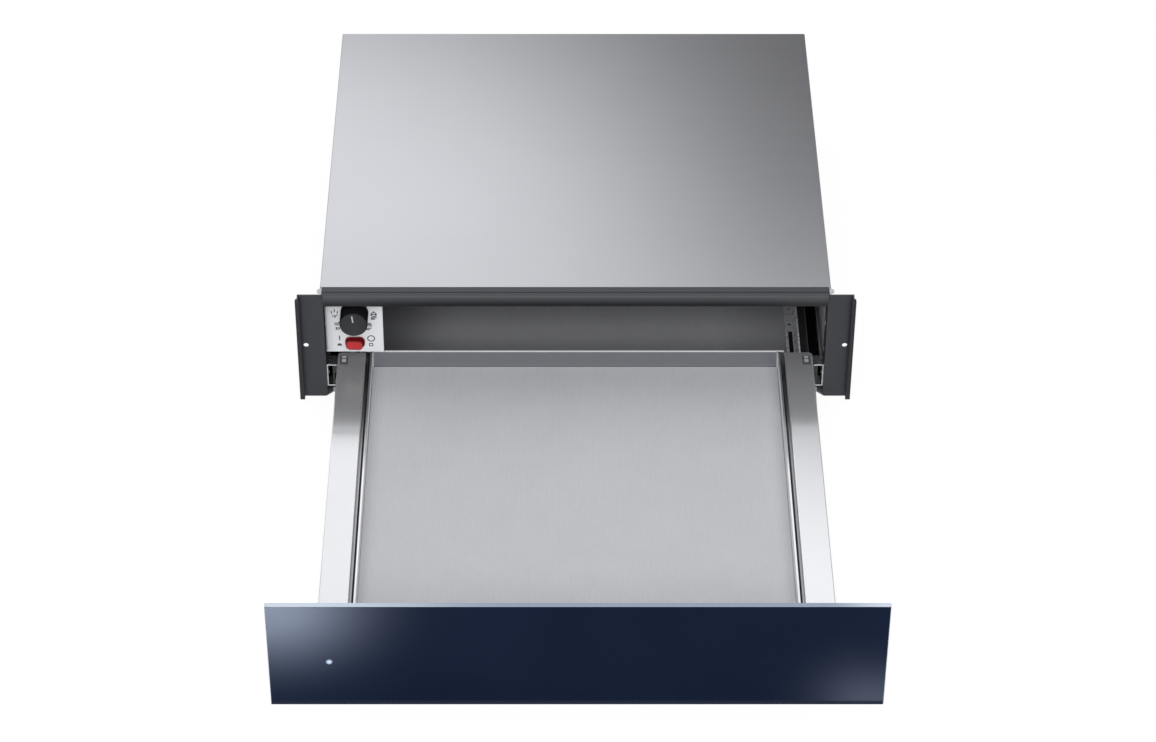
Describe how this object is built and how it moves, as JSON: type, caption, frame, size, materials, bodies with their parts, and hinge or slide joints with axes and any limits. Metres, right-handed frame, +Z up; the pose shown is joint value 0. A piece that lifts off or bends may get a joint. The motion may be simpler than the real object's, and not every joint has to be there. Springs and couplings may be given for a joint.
{
  "type": "built-in warming drawer",
  "caption": "Built-in warming drawer for a 60 cm cabinet: steel casing with fan heater, knob and rocker inside, glass-fronted drawer with a matted tray on telescopic runners.",
  "frame": {"origin": "on the niche floor at mid width, in the front plane of the cabinet, where the flanges seat", "axes": "+X to the right seen from the front, +Y into the cabinet, +Z up; the drawer opens towards -Y and is drawn fully open"},
  "size_m": [0.596, 1.0183, 0.1386],
  "materials": {
    "cover_steel": "fine brushed stainless steel",
    "casing_steel": "bright zinc-coated sheet",
    "graphite_paint": "satin graphite powder coat",
    "seal_rubber": "dark grey silicone profile",
    "edge_rubber": "grey edge seal",
    "liner_steel": "dark grey coated sheet",
    "insulation": "mineral fibre mat",
    "fascia_paint": "light grey satin paint with dark symbols",
    "switch_plastic": "ivory moulded plastic",
    "rocker_red": "clear red gloss plastic",
    "frame_red": "dark red gloss plastic",
    "bracket_zinc": "zinc-plated steel",
    "runner_steel": "zinc-plated runner steel, lightly greased",
    "ball_steel": "polished bearing balls in a pressed cage",
    "black_plastic": "black moulded plastic",
    "heater_steel": "heat-darkened steel tube",
    "lamination_steel": "varnished lamination stack",
    "copper_winding": "varnished copper winding under tape",
    "motor_aluminium": "pressed aluminium",
    "ceramic": "pale ceramic",
    "navy_glass": "navy glass, colour printed behind",
    "bond_black": "black bonding tape",
    "window_lens": "frosted light window",
    "front_steel": "zinc-coated pressed steel",
    "box_steel": "satin stainless steel",
    "tray_steel": "polished stainless steel",
    "mat_silicone": "light grey silicone with fine studs",
    "knob_black": "black satin plastic",
    "pointer_white": "white moulded mark",
    "fan_aluminium": "pressed aluminium fan wheel",
    "latch_plastic": "white moulded plastic",
    "plunger_red": "red moulded plastic"
  },
  "bodies": {
    "casing": {"base_pan": "casing_steel", "side_panel_left": "casing_steel", "side_panel_right": "casing_steel", "top_cover": "cover_steel", "back_panel": "casing_steel", "cover_screws": "bracket_zinc", "front_trim": "graphite_paint", "trim_seal": "seal_rubber", "flange_left": "graphite_paint", "flange_right": "graphite_paint", "flange_seal_left": "edge_rubber", "flange_seal_right": "edge_rubber", "flange_rivets": "bracket_zinc", "ceiling_liner": "liner_steel", "insulation_mat": "insulation", "control_fascia": "fascia_paint", "control_housing": "liner_steel", "selector_switch": "switch_plastic", "rocker_frame": "frame_red", "runner_bracket_left": "bracket_zinc", "runner_bracket_right": "bracket_zinc", "runner_fixed_left": "runner_steel", "runner_fixed_right": "runner_steel", "runner_rivets": "bracket_zinc", "guide_brackets": "bracket_zinc", "guide_pads": "black_plastic", "fan_cover": "liner_steel", "heater_ring": "heater_steel", "motor_stator": "lamination_steel", "motor_coil": "copper_winding", "motor_brackets": "motor_aluminium", "motor_cover": "casing_steel", "thermal_cutout": "ceramic", "terminal_block": "switch_plastic", "cable_gland": "black_plastic", "latch_body": "latch_plastic"},
    "drawer": {"glass_front": "navy_glass", "bonding_tape": "bond_black", "light_window": "window_lens", "front_carrier": "front_steel", "front_inner_panel": "box_steel", "side_box_left": "box_steel", "side_box_right": "box_steel", "box_clips": "black_plastic", "runner_inner_left": "runner_steel", "runner_inner_right": "runner_steel", "drawer_base": "casing_steel", "tray_rails": "casing_steel", "tray": "tray_steel", "tray_mat": "mat_silicone", "front_brackets": "bracket_zinc"},
    "runner_mid_left": {"runner_mid_left": "runner_steel"},
    "runner_mid_right": {"runner_mid_right": "runner_steel"},
    "cages_outer": {"ball_cages_outer": "ball_steel"},
    "cages_inner": {"ball_cages_inner": "ball_steel"},
    "knob": {"knob": "knob_black", "knob_pointer": "pointer_white"},
    "rocker": {"rocker": "rocker_red"},
    "fan": {"fan_wheel": "fan_aluminium"},
    "plunger": {"latch_plunger": "plunger_red"}
  },
  "joints": [
    {"name": "drawer_slide", "type": "slide", "parent": "casing", "child": "drawer", "axis": [0, 1, 0], "range_m": [0, 0.464]},
    {"name": "mid_left_slide", "type": "slide", "parent": "casing", "child": "runner_mid_left", "axis": [0, 1, 0], "range_m": [0, 0.232]},
    {"name": "mid_right_slide", "type": "slide", "parent": "casing", "child": "runner_mid_right", "axis": [0, 1, 0], "range_m": [0, 0.232]},
    {"name": "cages_outer_slide", "type": "slide", "parent": "casing", "child": "cages_outer", "axis": [0, 1, 0], "range_m": [0, 0.116]},
    {"name": "cages_inner_slide", "type": "slide", "parent": "casing", "child": "cages_inner", "axis": [0, 1, 0], "range_m": [0, 0.348]},
    {"name": "knob_turn", "type": "hinge", "parent": "casing", "child": "knob", "pos_m": [-0.236, 0.014, 0.1032], "axis": [0, 1, 0], "range_deg": [-135, 145]},
    {"name": "rocker_tip", "type": "hinge", "parent": "casing", "child": "rocker", "pos_m": [-0.2368, 0.017, 0.0624], "axis": [0, 0, 1], "range_deg": [0, 8]},
    {"name": "fan_spin", "type": "hinge", "parent": "casing", "child": "fan", "pos_m": [0, 0.4613, 0.0882], "axis": [0, 1, 0], "continuous": true},
    {"name": "plunger_press", "type": "slide", "parent": "casing", "child": "plunger", "axis": [0, 1, 0], "range_m": [0, 0.004], "stiffness_N_per_m": 800}
  ],
  "couplings": [
    {"joint": "mid_left_slide", "follows": "drawer_slide", "ratio": 0.5},
    {"joint": "mid_right_slide", "follows": "drawer_slide", "ratio": 0.5},
    {"joint": "cages_outer_slide", "follows": "drawer_slide", "ratio": 0.25},
    {"joint": "cages_inner_slide", "follows": "drawer_slide", "ratio": 0.75}
  ]
}
